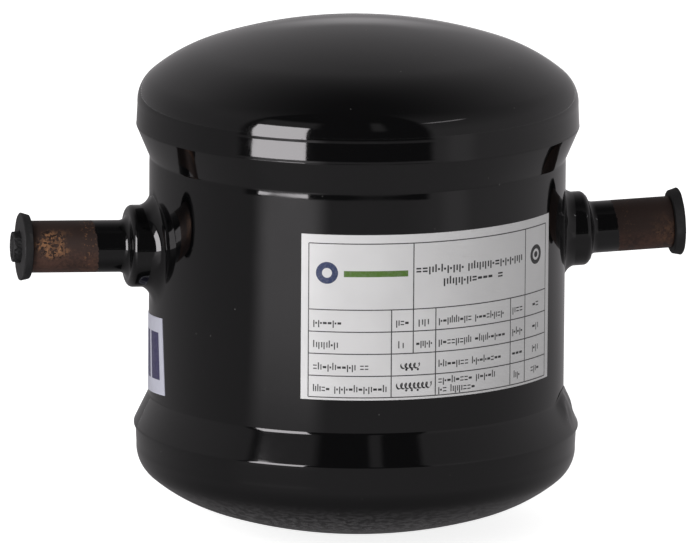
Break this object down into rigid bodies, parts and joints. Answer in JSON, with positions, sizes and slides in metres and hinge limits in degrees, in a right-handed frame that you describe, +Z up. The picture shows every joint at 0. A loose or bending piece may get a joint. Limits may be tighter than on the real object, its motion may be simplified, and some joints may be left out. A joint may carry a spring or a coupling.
{
  "type": "vertical liquid receiver",
  "caption": "Small black welded steel liquid receiver with domed heads, two side stub tubes closed by rubber plugs, a dip tube and a rating label.",
  "frame": {"origin": "lowest point of the bottom head, on the vessel's axis", "axes": "+Z up the vessel's axis, +X towards the outlet stub, -X towards the inlet stub, the rating label on the -Y side"},
  "size_m": [0.1814, 0.1178, 0.1353],
  "materials": {
    "black_paint": "gloss black baked paint over welded steel",
    "copper_plating": "thin copper plating over steel, heat-tinted brown, with paint at the inner end",
    "black_rubber": "moulded black rubber",
    "bare_steel": "drawn steel tube",
    "braze_metal": "braze metal",
    "label_film": "white printed film",
    "inlet_label_film": "pale film with dark blue print"
  },
  "bodies": {
    "root": {"shell": "black_paint", "top_head": "black_paint", "bottom_head": "black_paint", "top_head_weld": "black_paint", "bottom_head_weld": "black_paint", "inlet_boss": "black_paint", "outlet_boss": "black_paint", "inlet_boss_weld": "black_paint", "outlet_boss_weld": "black_paint", "inlet_stub": "copper_plating", "outlet_stub": "copper_plating", "inlet_braze": "black_paint", "outlet_braze": "black_paint", "inlet_plug": "black_rubber", "outlet_plug": "black_rubber", "dip_tube": "bare_steel", "dip_tube_braze": "braze_metal", "rating_label": "label_film", "inlet_label": "inlet_label_film"}
  },
  "joints": []
}
